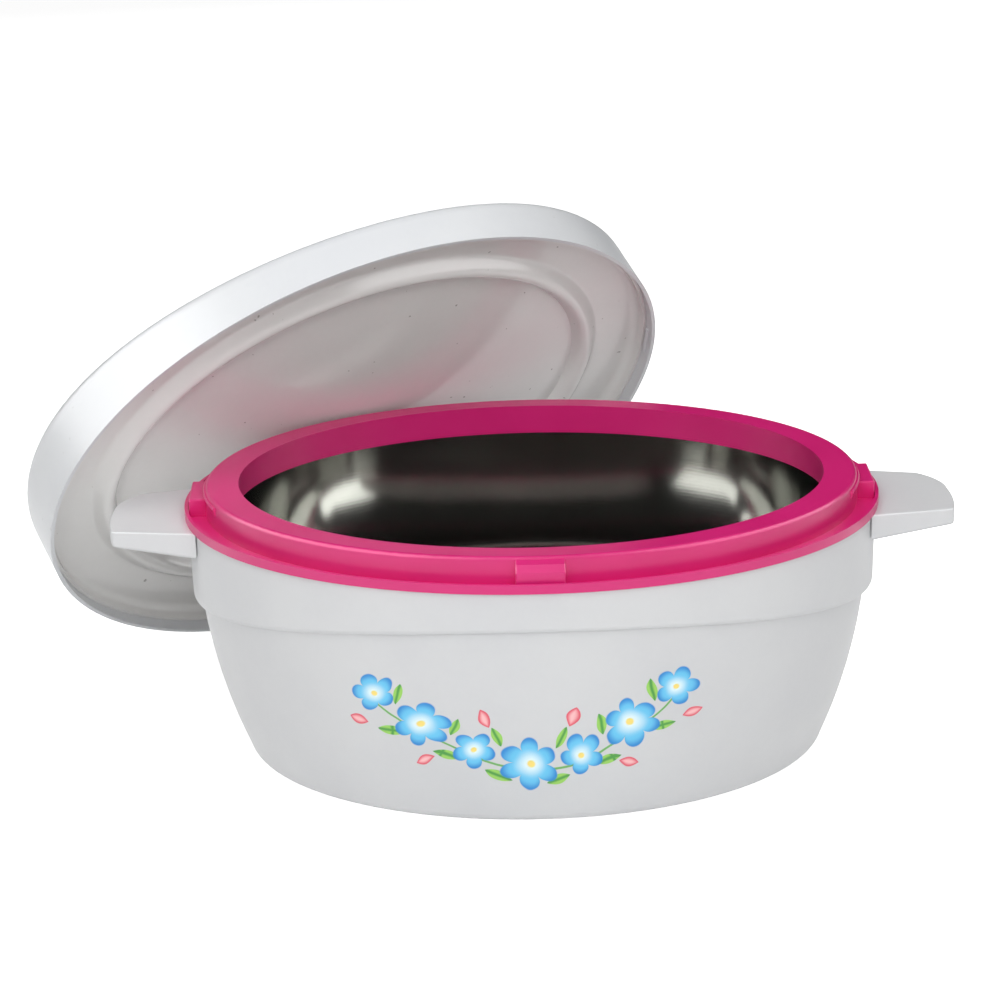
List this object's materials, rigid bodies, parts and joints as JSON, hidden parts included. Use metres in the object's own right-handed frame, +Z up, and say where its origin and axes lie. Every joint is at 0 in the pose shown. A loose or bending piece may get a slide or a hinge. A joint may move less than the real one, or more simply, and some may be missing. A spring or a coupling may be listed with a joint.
{
  "type": "insulated casserole",
  "caption": "Oval insulated serving casserole with ear handles, coloured rim ring and steel bowl, its domed lid lifted off and leaning behind.",
  "frame": {"origin": "middle of the pot's flat base, on the table", "axes": "+X along the pot's long axis through both ear handles, +Y to the back, where the lid leans, +Z up"},
  "size_m": [0.449, 0.3644, 0.2455],
  "materials": {
    "white_moulding": "satin white polypropylene, very fine texture",
    "lid_moulding": "smooth slightly glossy white polypropylene",
    "magenta_moulding": "glossy magenta polypropylene",
    "polished_steel": "mirror-polished stainless steel",
    "foam": "rigid polyurethane foam"
  },
  "bodies": {
    "pot": {"outer_casing": "white_moulding", "base_plug": "white_moulding", "rim_ring": "magenta_moulding", "steel_bowl": "polished_steel", "body_foam": "foam"},
    "lid": {"lid_shell": "lid_moulding", "lid_liner": "lid_moulding", "lid_foam": "foam", "lid_plug": "lid_moulding"}
  },
  "joints": [
    {"name": "lid_lift", "type": "slide", "parent": "pot", "child": "lid", "axis": [0, 0, 1], "range_m": [0, 0.15]}
  ]
}
